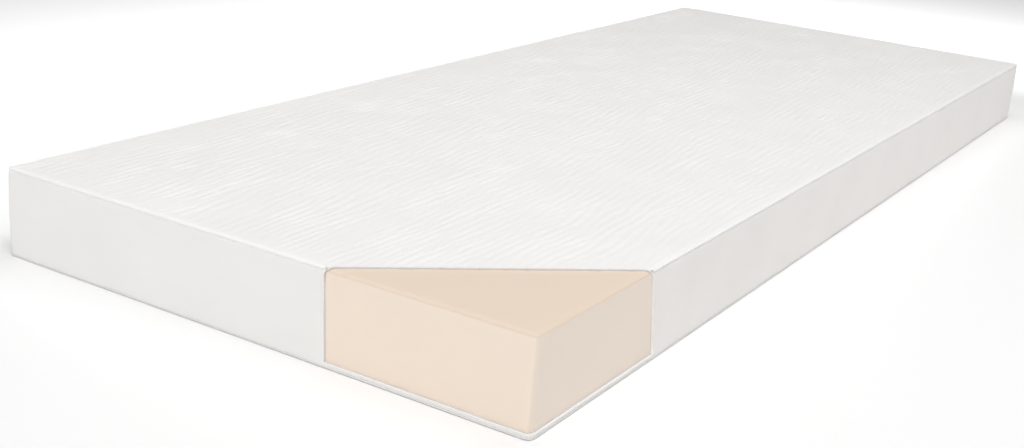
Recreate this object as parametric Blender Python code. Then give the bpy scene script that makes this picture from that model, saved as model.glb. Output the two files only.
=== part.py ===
"""A single-size memory foam mattress: a foam block in a sewn, piped and zipped fabric cover.

The frame: X across the width, Y along the length, Z up. The origin is the centre of the underside.
The cover is cut away at the foot end's right corner (+X, -Y), where the foam shows.
The zip runs along the left side (-X), and its slider closes towards the head end (+Y).
"""
import math

import bmesh
import bpy
from mathutils import Vector

# Driving dimensions, in metres: the mattress
WIDTH = 0.800
LENGTH = 2.000
HEIGHT = 0.120
FABRIC = 0.003  # thickness of the cover's knitted fabric
CORNER_R = 0.010  # upright corners of the cover, outside
GAP = 0.0003  # between pieces that touch

# The foam block
FOAM_CLEARANCE = 0.0005  # from the inside of the cover
FOAM_CORNER_R = 0.007
FOAM_EDGE_R = 0.005
ZIP_ROOM = 0.003  # between the foam and the border behind the zip

# The piping along the top edge
PIPE_R = 0.0023
PIPE_WALL = 0.0008
PIPE_SIDES = 12

# The cut-away corner
WINDOW_ALONG_FOOT = 0.2772  # from the corner, along the foot end's top edge
WINDOW_ALONG_SIDE = 0.2545  # from the corner, along the right side's top edge
WINDOW_FOOT_LEAN = 0.0050  # how far each upright cut leans, from its top to the sill
WINDOW_SIDE_LEAN = 0.0220
WINDOW_SILL = 0.007  # height of the strip of border left under the window
WINDOW_CORNER_R = 0.004

# The zip, all about its centre line along the left side
ZIP_Z = 0.045
ZIP_OPENING = 0.012  # height of the slot in the border
TAPE_HALF_LENGTH = 0.957
TAPE_HEIGHT = 0.0152
TAPE_THICK = 0.0007
TAPE_FROM_CENTRE = 0.0008
COIL_HALF_LENGTH = 0.949
COIL_FROM_CENTRE = 0.0008
COIL_HEIGHT = 0.0026
COIL_DEPTH = 0.0024
STOP_LENGTH = 0.004
STOP_PROUD = 0.0004  # how far a stop stands out of its coil

# The zip's slider, with its front towards +Y
SLIDER_Y = 0.940
SLIDER_HALF_LENGTH = 0.007
SLIDER_HALF_WIDTH = 0.00475
SLIDER_TAIL_HALF_WIDTH = 0.0040
SLIDER_NOSE_HALF_WIDTH = 0.0024
SLIDER_PLATE = 0.0013
SLIDER_BACK_PLATE = 0.0010
SLIDER_FLANGE = 0.0010
SLIDER_POST_HALF_WIDTH = 0.0005
BRIDGE_HALF_LENGTH = 0.0035
BRIDGE_INSIDE_HEIGHT = 0.0024
BRIDGE_THICK = 0.0009
BRIDGE_HALF_WIDTH = 0.0010

# Its pull tab, which swings on the bridge
TAB_LENGTH = 0.028
TAB_HALF_WIDTH = 0.0035
TAB_EYE_HALF_WIDTH = 0.0022
TAB_HOLE_HALF_WIDTH = 0.00135
TAB_HOLE_END = 0.0044
TAB_BAR = 0.00065
TAB_THICK = 0.0012
TAB_AXIS_HEIGHT = 0.00125  # of the hinge axis over the slider's plate

# The blank care label, sewn into the head end's top seam
LABEL_X = -0.270
LABEL_WIDTH = 0.060
LABEL_DROP = 0.045
LABEL_THICK = 0.0006

ARC_STEPS = 6  # in a quarter turn
OVERSHOOT = 0.010  # how far a cutter reaches past what it cuts

# Worked out from those
HALF_W = WIDTH / 2
HALF_L = LENGTH / 2
BORDER_LOW = FABRIC + GAP
BORDER_HIGH = HEIGHT - 2 * PIPE_R - GAP
SEAM_DEG = math.degrees(math.asin(GAP / 2 / (CORNER_R - FABRIC)))
WINDOW_X = HALF_W - WINDOW_ALONG_FOOT
WINDOW_Y = -HALF_L + WINDOW_ALONG_SIDE
TAPE_OUT_X = -HALF_W + FABRIC + GAP
TAPE_IN_X = TAPE_OUT_X + TAPE_THICK
COIL_IN_X = -HALF_W + FABRIC
COIL_OUT_X = COIL_IN_X - COIL_DEPTH
PLATE_IN_X = COIL_OUT_X - GAP
PLATE_OUT_X = PLATE_IN_X - SLIDER_PLATE
TAB_AXIS_X = PLATE_OUT_X - TAB_AXIS_HEIGHT


def clear_scene():
    for old in list(bpy.data.objects):
        bpy.data.objects.remove(old, do_unlink=True)


def make_material(name, colour, roughness, metallic=0.0):
    material = bpy.data.materials.new(name)
    material.use_nodes = True
    shader = material.node_tree.nodes["Principled BSDF"]
    shader.inputs["Base Color"].default_value = (*colour, 1.0)
    shader.inputs["Roughness"].default_value = roughness
    shader.inputs["Metallic"].default_value = metallic
    return material


def add_object(name, bm, material):
    bmesh.ops.recalc_face_normals(bm, faces=bm.faces)
    mesh = bpy.data.meshes.new(name)
    bm.to_mesh(mesh)
    bm.free()
    mesh.materials.append(material)
    piece = bpy.data.objects.new(name, mesh)
    bpy.context.scene.collection.objects.link(piece)
    return piece


def place_under_empty(name, position, *pieces):
    """Parents a moving piece to an empty that stands on its joint's axis."""
    empty = bpy.data.objects.new(name, None)
    empty.location = position
    empty.empty_display_size = 0.02
    bpy.context.scene.collection.objects.link(empty)
    for piece in pieces:
        piece.parent = empty


def as_guide(piece):
    piece.hide_render = True
    piece.display_type = "WIRE"
    return piece


def combine(piece, other, operation):
    """Adds or cuts away another shape, which then stays in the scene as a guide."""
    as_guide(other)
    boolean = piece.modifiers.new(other.name, "BOOLEAN")
    boolean.operation = operation
    boolean.solver = "EXACT"
    boolean.object = other


def arc(centre, radius, start_deg, end_deg, steps):
    """Points along an arc in plan, both ends included."""
    points = []
    for i in range(steps + 1):
        angle = math.radians(start_deg + (end_deg - start_deg) * i / steps)
        points.append((centre[0] + radius * math.cos(angle), centre[1] + radius * math.sin(angle)))
    return points


def corner_centre(corner):
    """Centre of an upright corner, counted anticlockwise from (-X, -Y)."""
    side_x, side_y = [(-1, -1), (1, -1), (1, 1), (-1, 1)][corner % 4]
    return side_x * (HALF_W - CORNER_R), side_y * (HALF_L - CORNER_R)


def rounded_rectangle(low_x, high_x, low_y, high_y, radius):
    points = []
    for x, y, start in (
        (high_x - radius, high_y - radius, 0),
        (low_x + radius, high_y - radius, 90),
        (low_x + radius, low_y + radius, 180),
        (high_x - radius, low_y + radius, 270),
    ):
        points += arc((x, y), radius, start, start + 90, ARC_STEPS)
    return points


def prism_mesh(outline, low, high, place):
    """A prism over an outline; place turns two outline numbers and a height into a point."""
    bm = bmesh.new()
    face = bm.faces.new([bm.verts.new(place(a, b, low)) for a, b in outline])
    raised = bmesh.ops.extrude_face_region(bm, geom=[face])["geom"]
    shift = Vector(place(0, 0, high)) - Vector(place(0, 0, low))
    verts = [item for item in raised if isinstance(item, bmesh.types.BMVert)]
    bmesh.ops.translate(bm, vec=shift, verts=verts)
    return bm


def plan_prism(name, outline, low, high, material):
    """A prism that stands on an outline drawn in plan."""
    return add_object(name, prism_mesh(outline, low, high, lambda x, y, z: (x, y, z)), material)


def side_prism(name, outline, low_x, high_x, material):
    """A prism whose outline is drawn in Y and Z, as a plate that faces the left side."""
    return add_object(name, prism_mesh(outline, low_x, high_x, lambda y, z, x: (x, y, z)), material)


def rectangle(low_a, high_a, low_b, high_b):
    return [(low_a, low_b), (high_a, low_b), (high_a, high_b), (low_a, high_b)]


def bevel_rim(piece, radius, segments):
    """Rounds the edges at the top and the bottom of an upright prism."""
    bm = bmesh.new()
    bm.from_mesh(piece.data)
    level = [e for e in bm.edges if abs(e.verts[0].co.z - e.verts[1].co.z) < GAP / 10]
    bmesh.ops.bevel(bm, geom=level, offset=radius, segments=segments, affect="EDGES", profile=0.5)
    bm.to_mesh(piece.data)
    bm.free()


def bevel_all(piece, radius, segments=2):
    bevel = piece.modifiers.new("rounded edges", "BEVEL")
    bevel.width = radius
    bevel.segments = segments
    bevel.limit_method = "ANGLE"


def side_path(side, inset):
    """Plan path of one side of the cover, from seam to seam; side 0 is the foot end, then right."""
    radius = CORNER_R - inset
    facing = 270 + 90 * side
    steps = ARC_STEPS // 2
    start = arc(corner_centre(side), radius, facing - 45 + SEAM_DEG, facing, steps)
    return start + arc(corner_centre(side + 1), radius, facing, facing + 45 - SEAM_DEG, steps)


def band(outer, inner):
    return outer + inner[::-1]


def border_panel(name, side, low, high, material):
    outline = band(side_path(side, 0), side_path(side, FABRIC))
    return plan_prism(name, outline, low, high, material)


def window_cutter(name, foot_lean, side_lean, material):
    """Everything above the sill and outside the diagonal cut, square to the border where it leaves it.

    The two upright cuts lean: at the sill, one is further right and the other further back.
    """
    inside = FABRIC + GAP / 2
    foot_x, side_y = WINDOW_X + foot_lean, WINDOW_Y + side_lean
    outline = [
        (foot_x, -HALF_L - OVERSHOOT),
        (HALF_W + OVERSHOOT, -HALF_L - OVERSHOOT),
        (HALF_W + OVERSHOOT, side_y),
        (HALF_W - inside, side_y),
        (foot_x, -HALF_L + inside),
    ]
    cutter = plan_prism(name, outline, WINDOW_SILL, HEIGHT + OVERSHOOT, material)
    bm = bmesh.new()
    bm.from_mesh(cutter.data)
    side_end = []
    for edge in bm.edges:
        ends = [vert.co for vert in edge.verts]
        if all(abs(co.z - WINDOW_SILL) < GAP and abs(co.y - side_y) < GAP for co in ends):
            side_end.append(edge)
    bmesh.ops.bevel(
        bm, geom=side_end, offset=WINDOW_CORNER_R, segments=4, affect="EDGES", profile=0.5
    )
    for vert in bm.verts:
        rise = (vert.co.z - WINDOW_SILL) / (BORDER_HIGH - WINDOW_SILL)
        if abs(vert.co.x - foot_x) < GAP:
            vert.co.x -= foot_lean * rise
        if vert.co.y > side_y - WINDOW_CORNER_R - GAP:
            vert.co.y -= side_lean * rise
    bm.to_mesh(cutter.data)
    bm.free()
    return as_guide(cutter)


def piping_path():
    """Centre line of the piping, from the foot end's cut clockwise round to the right side's cut."""
    radius = CORNER_R - PIPE_R
    path = [(WINDOW_X, -HALF_L + PIPE_R)]
    path += arc(corner_centre(0), radius, 270, 180, ARC_STEPS)
    path += arc(corner_centre(3), radius, 180, 90, ARC_STEPS)
    path += arc(corner_centre(2), radius, 90, 0, ARC_STEPS)
    path.append((HALF_W - PIPE_R, WINDOW_Y))
    return [Vector((x, y, HEIGHT - PIPE_R)) for x, y in path]


def ring_at(bm, path, i, radius):
    """A ring of points square to the path at its i-th point."""
    ahead = (path[min(i + 1, len(path) - 1)] - path[i]).normalized()
    behind = (path[i] - path[max(i - 1, 0)]).normalized()
    along = (ahead + behind).normalized()
    sideways = along.cross(Vector((0, 0, 1)))
    ring = []
    for k in range(PIPE_SIDES):
        angle = math.tau * k / PIPE_SIDES
        offset = sideways * math.cos(angle) + Vector((0, 0, 1)) * math.sin(angle)
        ring.append(bm.verts.new(path[i] + offset * radius))
    return ring


def skin_rings(bm, rings):
    for first, second in zip(rings, rings[1:]):
        for k in range(PIPE_SIDES):
            following = (k + 1) % PIPE_SIDES
            bm.faces.new((first[k], first[following], second[following], second[k]))


def swept_tube(name, path, outer_radius, inner_radius, material):
    """A tube along the path, open at both ends, or a solid cord where the inner radius is 0."""
    bm = bmesh.new()
    count = range(len(path))
    outer = [ring_at(bm, path, i, outer_radius) for i in count]
    skin_rings(bm, outer)
    if inner_radius:
        inner = [ring_at(bm, path, i, inner_radius) for i in count]
        skin_rings(bm, inner)
        skin_rings(bm, [outer[0], inner[0]])
        skin_rings(bm, [outer[-1], inner[-1]])
    else:
        bm.faces.new(outer[0])
        bm.faces.new(outer[-1])
    return add_object(name, bm, material)


def build_foam(material):
    outline = rounded_rectangle(
        -HALF_W + FABRIC + ZIP_ROOM,
        HALF_W - FABRIC - FOAM_CLEARANCE,
        -HALF_L + FABRIC + FOAM_CLEARANCE,
        HALF_L - FABRIC - FOAM_CLEARANCE,
        FOAM_CORNER_R,
    )
    foam = plan_prism("foam_core", outline, FABRIC + GAP, HEIGHT - FABRIC - GAP, material)
    bevel_rim(foam, FOAM_EDGE_R, 4)


def build_cover(knit, piping, cord):
    top_cutter = window_cutter("window_cutter_top", 0.0, 0.0, knit)
    cutter = window_cutter("window_cutter_sides", WINDOW_FOOT_LEAN, WINDOW_SIDE_LEAN, knit)
    inset = 2 * PIPE_R + GAP
    low_x, high_x = -HALF_W + inset, HALF_W - inset
    low_y, high_y = -HALF_L + inset, HALF_L - inset
    top_outline = rounded_rectangle(low_x, high_x, low_y, high_y, CORNER_R - inset)
    top = plan_prism("top_panel", top_outline, HEIGHT - FABRIC, HEIGHT, knit)
    combine(top, top_cutter, "DIFFERENCE")

    footprint = rounded_rectangle(-HALF_W, HALF_W, -HALF_L, HALF_L, CORNER_R)
    plan_prism("bottom_panel", footprint, 0.0, FABRIC, knit)

    for side, name in enumerate(("border_foot", "border_right", "border_head")):
        panel = border_panel(name, side, BORDER_LOW, BORDER_HIGH, knit)
        if name != "border_head":
            combine(panel, cutter, "DIFFERENCE")
    border_panel("border_left_lower", 3, BORDER_LOW, ZIP_Z - ZIP_OPENING / 2, knit)
    border_panel("border_left_upper", 3, ZIP_Z + ZIP_OPENING / 2, BORDER_HIGH, knit)

    path = piping_path()
    swept_tube("piping_cover", path, PIPE_R, PIPE_R - PIPE_WALL, piping)
    swept_tube("piping_cord", path, PIPE_R - PIPE_WALL - GAP, 0, cord)


def build_zip_chain(knit, tape, coil, metal):
    """The tapes, the coils, their stops, and the tabs that close the slot beyond them."""
    ends = TAPE_HALF_LENGTH
    stop_start = COIL_HALF_LENGTH + GAP
    stop_end = stop_start + STOP_LENGTH
    for part, up in (("upper", 1), ("lower", -1)):
        near, far = sorted((TAPE_FROM_CENTRE * up, (TAPE_FROM_CENTRE + TAPE_HEIGHT) * up))
        outline = rectangle(-ends, ends, ZIP_Z + near, ZIP_Z + far)
        side_prism(f"zip_tape_{part}", outline, TAPE_OUT_X, TAPE_IN_X, tape)

        near, far = sorted((COIL_FROM_CENTRE * up, (COIL_FROM_CENTRE + COIL_HEIGHT) * up))
        outline = rectangle(-COIL_HALF_LENGTH, COIL_HALF_LENGTH, ZIP_Z + near, ZIP_Z + far)
        row = side_prism(f"zip_coil_{part}", outline, COIL_OUT_X, COIL_IN_X, coil)
        bevel_all(row, COIL_HEIGHT / 4)

        outline = rectangle(stop_start, stop_end, ZIP_Z + near, ZIP_Z + far)
        stop = side_prism(f"zip_top_stop_{part}", outline, COIL_OUT_X - STOP_PROUD, COIL_IN_X, metal)
        bevel_all(stop, STOP_PROUD)

    reach = COIL_FROM_CENTRE + COIL_HEIGHT
    outline = rectangle(-stop_end, -stop_start, ZIP_Z - reach, ZIP_Z + reach)
    stop = side_prism("zip_bottom_stop", outline, COIL_OUT_X - STOP_PROUD, COIL_IN_X, metal)
    bevel_all(stop, STOP_PROUD)

    low = ZIP_Z - ZIP_OPENING / 2 + GAP
    high = ZIP_Z + ZIP_OPENING / 2 - GAP
    steps = ARC_STEPS // 2
    for name, corner, turn, end_y in (
        ("zip_end_tab_head", 3, (135 + SEAM_DEG, 180), ends + GAP),
        ("zip_end_tab_foot", 0, (225 - SEAM_DEG, 180), -ends - GAP),
    ):
        paths = []
        for inset in (0, FABRIC):
            path = arc(corner_centre(corner), CORNER_R - inset, *turn, steps)
            paths.append(path + [(-HALF_W + inset, end_y)])
        plan_prism(name, band(*paths), low, high, knit)


def slider_outline():
    """Outline of the slider's plates in Y and Z about its centre: square tail, tapered nose."""
    half = [
        (-SLIDER_HALF_LENGTH, SLIDER_TAIL_HALF_WIDTH),
        (-SLIDER_HALF_LENGTH * 0.8, SLIDER_HALF_WIDTH),
        (SLIDER_HALF_LENGTH * 0.5, SLIDER_HALF_WIDTH),
        (SLIDER_HALF_LENGTH, SLIDER_NOSE_HALF_WIDTH),
    ]
    return half + [(y, -z) for y, z in reversed(half)]


def bridge_outline(foot):
    """Outline of the bridge in X and Y about the slider's centre; its feet sink into the plate."""
    top = PLATE_OUT_X - BRIDGE_INSIDE_HEIGHT
    outer, inner = BRIDGE_HALF_LENGTH, BRIDGE_HALF_LENGTH - BRIDGE_THICK
    slope = BRIDGE_THICK
    return [
        (foot, outer),
        (top, outer),
        (top - BRIDGE_THICK, outer - slope),
        (top - BRIDGE_THICK, -outer + slope),
        (top, -outer),
        (foot, -outer),
        (foot, -inner),
        (top, -inner),
        (top, inner),
        (foot, inner),
    ]


def build_slider(metal):
    """Two plates joined by a post at the nose, flanges round the coils, and the tab's bridge."""
    outline = slider_outline()
    slider = side_prism("zip_slider", outline, PLATE_OUT_X, PLATE_IN_X, metal)
    back_x = TAPE_IN_X + GAP
    back = side_prism("slider_back_plate", outline, back_x, back_x + SLIDER_BACK_PLATE, metal)
    inside = PLATE_IN_X - GAP
    post_outline = rectangle(
        SLIDER_HALF_LENGTH * 0.55,
        SLIDER_HALF_LENGTH * 0.9,
        -SLIDER_POST_HALF_WIDTH,
        SLIDER_POST_HALF_WIDTH,
    )
    post = side_prism("slider_post", post_outline, inside, back_x + GAP, metal)
    guides = [back, post]
    for part, up in (("upper", 1), ("lower", -1)):
        edges = sorted((SLIDER_HALF_WIDTH * up, (SLIDER_HALF_WIDTH - SLIDER_FLANGE) * up))
        flange_outline = rectangle(-SLIDER_HALF_LENGTH * 0.8, SLIDER_HALF_LENGTH * 0.5, *edges)
        flange = side_prism(f"slider_flange_{part}", flange_outline, inside, COIL_IN_X, metal)
        guides.append(flange)
    bridge = plan_prism(
        "slider_bridge",
        bridge_outline(PLATE_OUT_X + GAP),
        -BRIDGE_HALF_WIDTH,
        BRIDGE_HALF_WIDTH,
        metal,
    )
    guides.append(bridge)
    for guide in guides:
        combine(slider, guide, "UNION")
    place_under_empty("zip_slide_axis", (0, SLIDER_Y, ZIP_Z), slider, *guides)


def build_pull_tab(metal):
    """A plate with an eye, about its hinge axis, lying along the zip towards the foot end."""
    widening = 2 * TAB_HOLE_END
    round_end = -TAB_LENGTH + TAB_HALF_WIDTH
    outline = [(TAB_BAR, TAB_EYE_HALF_WIDTH), (-TAB_HOLE_END, TAB_EYE_HALF_WIDTH)]
    outline += [(-widening, TAB_HALF_WIDTH)]
    outline += arc((round_end, 0), TAB_HALF_WIDTH, 90, 270, 2 * ARC_STEPS)
    outline += [(-widening, -TAB_HALF_WIDTH)]
    outline += [(-TAB_HOLE_END, -TAB_EYE_HALF_WIDTH), (TAB_BAR, -TAB_EYE_HALF_WIDTH)]
    half = TAB_THICK / 2
    tab = side_prism("zip_pull_tab", outline, -half, half, metal)
    hole_outline = rectangle(-TAB_HOLE_END, -TAB_BAR, -TAB_HOLE_HALF_WIDTH, TAB_HOLE_HALF_WIDTH)
    hole = side_prism("pull_tab_hole", hole_outline, -TAB_THICK, TAB_THICK, metal)
    combine(tab, hole, "DIFFERENCE")
    place_under_empty("pull_tab_axis", (TAB_AXIS_X, SLIDER_Y, ZIP_Z), tab, hole)


def build_care_label(satin):
    """A blank strip that hangs from the seam under the piping, about its sewn edge."""
    half = LABEL_WIDTH / 2
    outline = rectangle(-half, half, -LABEL_THICK / 2, LABEL_THICK / 2)
    label = plan_prism("care_label", outline, -LABEL_DROP, 0, satin)
    hinge_y = HALF_L + GAP + LABEL_THICK / 2
    place_under_empty("care_label_axis", (LABEL_X, hinge_y, BORDER_HIGH), label)


def main():
    clear_scene()
    knit = make_material("knit", (0.84, 0.83, 0.81), 0.9)
    piping = make_material("piping", (0.86, 0.85, 0.84), 0.8)
    cord = make_material("cord", (0.80, 0.78, 0.74), 0.9)
    foam = make_material("foam", (0.87, 0.74, 0.60), 0.95)
    tape = make_material("tape", (0.82, 0.81, 0.79), 0.85)
    coil = make_material("coil", (0.85, 0.84, 0.82), 0.4)
    metal = make_material("metal", (0.62, 0.62, 0.63), 0.3, 1.0)
    satin = make_material("satin", (0.88, 0.88, 0.87), 0.5)
    build_foam(foam)
    build_cover(knit, piping, cord)
    build_zip_chain(knit, tape, coil, metal)
    build_slider(metal)
    build_pull_tab(metal)
    build_care_label(satin)


main()
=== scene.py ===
"""The looks of a single-size memory foam mattress with a cut-away corner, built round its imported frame.

Metres throughout, in the frame's own axes: X across the width, Y along the length, Z up.
The foot end faces -Y, and the cover is cut away at its right corner (+X, -Y).
"""

import math

import bmesh
import bpy
import numpy as np
from mathutils import Matrix, Vector


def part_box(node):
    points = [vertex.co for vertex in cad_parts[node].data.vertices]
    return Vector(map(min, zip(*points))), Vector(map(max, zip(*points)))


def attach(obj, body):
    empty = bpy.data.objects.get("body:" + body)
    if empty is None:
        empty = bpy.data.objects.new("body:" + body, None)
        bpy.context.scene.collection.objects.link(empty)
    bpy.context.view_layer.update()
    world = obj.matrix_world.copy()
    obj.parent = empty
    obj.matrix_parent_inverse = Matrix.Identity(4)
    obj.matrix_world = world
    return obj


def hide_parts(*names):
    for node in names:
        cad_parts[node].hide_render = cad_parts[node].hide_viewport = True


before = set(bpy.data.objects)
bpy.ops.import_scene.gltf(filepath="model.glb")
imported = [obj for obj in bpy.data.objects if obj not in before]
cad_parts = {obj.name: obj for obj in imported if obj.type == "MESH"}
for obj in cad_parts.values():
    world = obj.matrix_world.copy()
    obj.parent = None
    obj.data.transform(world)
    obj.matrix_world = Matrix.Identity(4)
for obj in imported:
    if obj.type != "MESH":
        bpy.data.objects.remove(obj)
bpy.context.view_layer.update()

# Sizes and places read from the frame
HALF_W, HALF_L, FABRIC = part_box("bottom_panel")[1]
TOP_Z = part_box("top_panel")[1].z
PIPE_R = (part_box("piping_cover")[1].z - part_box("piping_cover")[0].z) / 2
CORD_R = (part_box("piping_cord")[1].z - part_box("piping_cord")[0].z) / 2
BORDER_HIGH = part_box("border_head")[1].z
FOAM_LOW, FOAM_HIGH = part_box("foam_core")
SLOT_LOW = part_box("border_left_lower")[1].z
SLOT_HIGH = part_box("border_left_upper")[0].z
ZIP_Z = (SLOT_LOW + SLOT_HIGH) / 2
TAPE_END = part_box("zip_tape_upper")[1].y

# Sizes that the frame doesn't state in a box
CORNER_R = 0.010  # upright corners of the cover, outside
PIPE_WALL = 0.0008
# The lining's blue-grey is partly the scrim's own colour and partly painted shade: at the cover's cut
# edges it stands for the shadow line along the cut.
LINING_AND_EDGE_SHADE, WADDING = "lining", "wadding"  # what a cut edge of the cover shows, from inside out


def furthest(node, axis, pick, where):
    """The lowest or highest coordinate of a CAD node among the corners that pass a test."""
    corners = (vertex.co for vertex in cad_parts[node].data.vertices)
    return pick(co[axis] for co in corners if where(co))


TOLERANCE = 0.0005  # within which a CAD corner counts as lying on a level
WINDOW_X = furthest("border_foot", 0, max, lambda co: co.z > BORDER_HIGH - TOLERANCE)
WINDOW_Y = furthest("border_right", 1, min, lambda co: co.z > BORDER_HIGH - TOLERANCE)
SILL_Z = furthest("border_foot", 2, max, lambda co: co.x > HALF_W - CORNER_R)
SILL_BAND = 0.006  # above the sill, where the foot of each upright cut is looked for


def over_sill(co):
    return SILL_Z - TOLERANCE < co.z < SILL_Z + SILL_BAND


# How far each upright cut of the window leans outwards from its top to the sill
FOOT_LEAN = furthest("border_foot", 0, min, lambda co: over_sill(co) and co.x > 0) - WINDOW_X
SIDE_LEAN = furthest("border_right", 1, max, lambda co: over_sill(co) and co.y < 0) - WINDOW_Y

# The window on the two sides it is cut from, foot end first: its upright cut's place
WINDOW_LINES = (WINDOW_X, WINDOW_Y)


# ---------------- numbers and grids

def smooth(t):
    """Eases from 0 to 1 as t goes from 0 to 1, and stays level outside."""
    t = np.clip(t, 0.0, 1.0)
    return t * t * (3 - 2 * t)


def graded(low, high, step, edge=(0.0006, 0.0014, 0.0026, 0.0042, 0.0062)):
    """Positions from low to high about a step apart, with those of edge counted from both ends."""
    inner_low, inner_high = low + edge[-1], high - edge[-1]
    count = max(2, round((inner_high - inner_low) / step))
    middle = np.linspace(inner_low, inner_high, count + 1)
    start = [low] + [low + e for e in edge[:-1]]
    end = [high - e for e in edge[:-1]][::-1] + [high]
    return np.concatenate([start, middle, end])


def with_line(positions, line):
    """The same positions with the nearest one moved onto a line."""
    moved = positions.copy()
    moved[np.argmin(np.abs(positions - line))] = line
    return moved


def faded(distance, reach):
    """1 at no distance, falling along a parabola to 0 at the reach."""
    return (1 - np.clip(distance / reach, 0, 1)) ** 2


def running_length(points):
    """Distance along a path of points, at each of them."""
    gaps = np.linalg.norm(np.diff(points, axis=0), axis=1)
    return np.concatenate([[0], np.cumsum(gaps)])


class Field:
    """A smooth random height field over a rectangle: band-passed noise with unit spread.

    pitch is the distance between ridges, length how far a ridge runs, and lean the angle in
    degrees that it turns from the second axis towards the first.
    """

    def __init__(self, rng, low, high, step, pitch, length, lean=0.0, width=0.35):
        self.low = np.array(low, float)
        self.step = np.array(step, float)
        counts = np.ceil((np.array(high) - self.low) / self.step).astype(int) + 2
        white = rng.standard_normal(counts)
        first = np.fft.fftfreq(counts[0], self.step[0])[:, None]
        second = np.fft.fftfreq(counts[1], self.step[1])[None, :]
        angle = math.radians(lean)
        across = first * math.cos(angle) + second * math.sin(angle)
        along = second * math.cos(angle) - first * math.sin(angle)
        band = np.exp(-(((np.abs(across) * pitch - 1) / width) ** 2))
        run = np.exp(-((along * length) ** 2))
        values = np.fft.ifft2(np.fft.fft2(white) * band * run).real
        self.values = values / values.std()

    def at(self, a, b):
        """Heights at points, by bilinear interpolation."""
        u = (a - self.low[0]) / self.step[0]
        v = (b - self.low[1]) / self.step[1]
        i = np.clip(np.floor(u).astype(int), 0, self.values.shape[0] - 2)
        j = np.clip(np.floor(v).astype(int), 0, self.values.shape[1] - 2)
        u, v = u - i, v - j
        near = self.values[i, j] * (1 - v) + self.values[i, j + 1] * v
        far = self.values[i + 1, j] * (1 - v) + self.values[i + 1, j + 1] * v
        return near * (1 - u) + far * u


def line_noise(rng, low, high, pitch):
    """A wavy random line along one axis, with unit spread, as a function of position."""
    step = pitch / 6
    field = Field(rng, (low, 0), (high, 3 * pitch), (step, pitch), pitch, pitch / 10, width=0.6)
    return lambda position: field.at(position, np.zeros_like(position))


# ---------------- meshes

def new_object(name, bm, material, sharp_deg=40, more=()):
    """An object of a finished mesh, smooth but for its sharp edges, with its materials and slot."""
    bmesh.ops.recalc_face_normals(bm, faces=bm.faces)
    mesh = bpy.data.meshes.new(name)
    bm.to_mesh(mesh)
    bm.free()
    mesh.shade_smooth()
    mesh.set_sharp_from_angle(angle=math.radians(sharp_deg))
    for each in (material, *more):
        mesh.materials.append(LOOKS[each].material)
    piece = bpy.data.objects.new(name, mesh)
    bpy.context.scene.collection.objects.link(piece)
    return piece


def mesh_from(verts, faces, slots=None):
    """A mesh of points and of faces given by corner numbers, each with its own material index."""
    mesh = bpy.data.meshes.new("building")
    mesh.from_pydata([tuple(v) for v in verts], [], [tuple(f) for f in faces])
    if slots is not None:
        mesh.polygons.foreach_set("material_index", slots)
    bm = bmesh.new()
    bm.from_mesh(mesh)
    bpy.data.meshes.remove(mesh)
    return bm


def grid_cells(rows, columns, closed=False):
    """Corner numbers of every cell of a grid; closed joins the last column to the first."""
    index = np.arange(rows * columns).reshape(rows, columns)
    if closed:
        index = np.concatenate([index, index[:, :1]], axis=1)
    corners = [index[:-1, :-1], index[1:, :-1], index[1:, 1:], index[:-1, 1:]]
    return np.stack(corners, -1)


def thick_sheet(name, outer, inner, material, keep=None, lined=0.4):
    """A closed sheet between two grids of points, made of all cells or only of those kept.

    Its edges show wadding outside and, over the lined share of the thickness, the lining inside, whose
    blue-grey is partly painted shade along a cut.
    """
    rows, columns, _ = outer.shape
    if keep is None:
        keep = np.ones((rows - 1, columns - 1), bool)
    size = rows * columns
    cells = grid_cells(rows, columns)
    kept = cells[keep]
    faces = [kept, kept[:, ::-1] + size]
    slots = [np.zeros(len(kept), int), np.ones(len(kept), int)]
    framed = np.pad(keep, 1)
    neighbours = (
        (framed[1:-1, :-2], 0, 1),
        (framed[2:, 1:-1], 1, 2),
        (framed[1:-1, 2:], 2, 3),
        (framed[:-2, 1:-1], 3, 0),
    )
    for beside, first, second in neighbours:
        edge = cells[keep & ~beside]
        start, end = edge[:, first], edge[:, second]
        for front, back, slot in ((0, 2 * size, 2), (2 * size, size, 1)):
            faces.append(np.stack([end + front, start + front, start + back, end + back], -1))
            slots.append(np.full(len(edge), slot))
    lined = np.broadcast_to(lined, (rows, columns))[..., None]
    middle = outer * lined + inner * (1 - lined)
    verts = np.concatenate([grid.reshape(-1, 3) for grid in (outer, inner, middle)])
    bm = mesh_from(verts, np.concatenate(faces), np.concatenate(slots))
    loose = [vert for vert in bm.verts if not vert.link_faces]
    bmesh.ops.delete(bm, geom=loose, context="VERTS")
    return new_object(name, bm, material, more=(LINING_AND_EDGE_SHADE, WADDING))


def swept_rings(path, radius_at, sides, twist=0.0):
    """Rings of points round a level path; radius_at(distance, angle) gives each point's radius."""
    path = np.asarray(path, float)
    ahead = np.diff(path, axis=0)
    ahead /= np.linalg.norm(ahead, axis=1)[:, None]
    along = np.concatenate([ahead[:1], ahead[:-1] + ahead[1:], ahead[-1:]])
    along /= np.linalg.norm(along, axis=1)[:, None]
    sideways = np.stack([along[:, 1], -along[:, 0], np.zeros(len(path))], -1)
    run = running_length(path)
    angle = np.arange(sides) * math.tau / sides
    turned = angle[None, :] + twist * run[:, None]
    radius = radius_at(run[:, None], angle[None, :])
    upright = np.array([0.0, 0.0, 1.0])
    offset = np.cos(turned)[..., None] * sideways[:, None, :]
    offset = offset + np.sin(turned)[..., None] * upright
    return path[:, None, :] + offset * radius[..., None]


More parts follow.
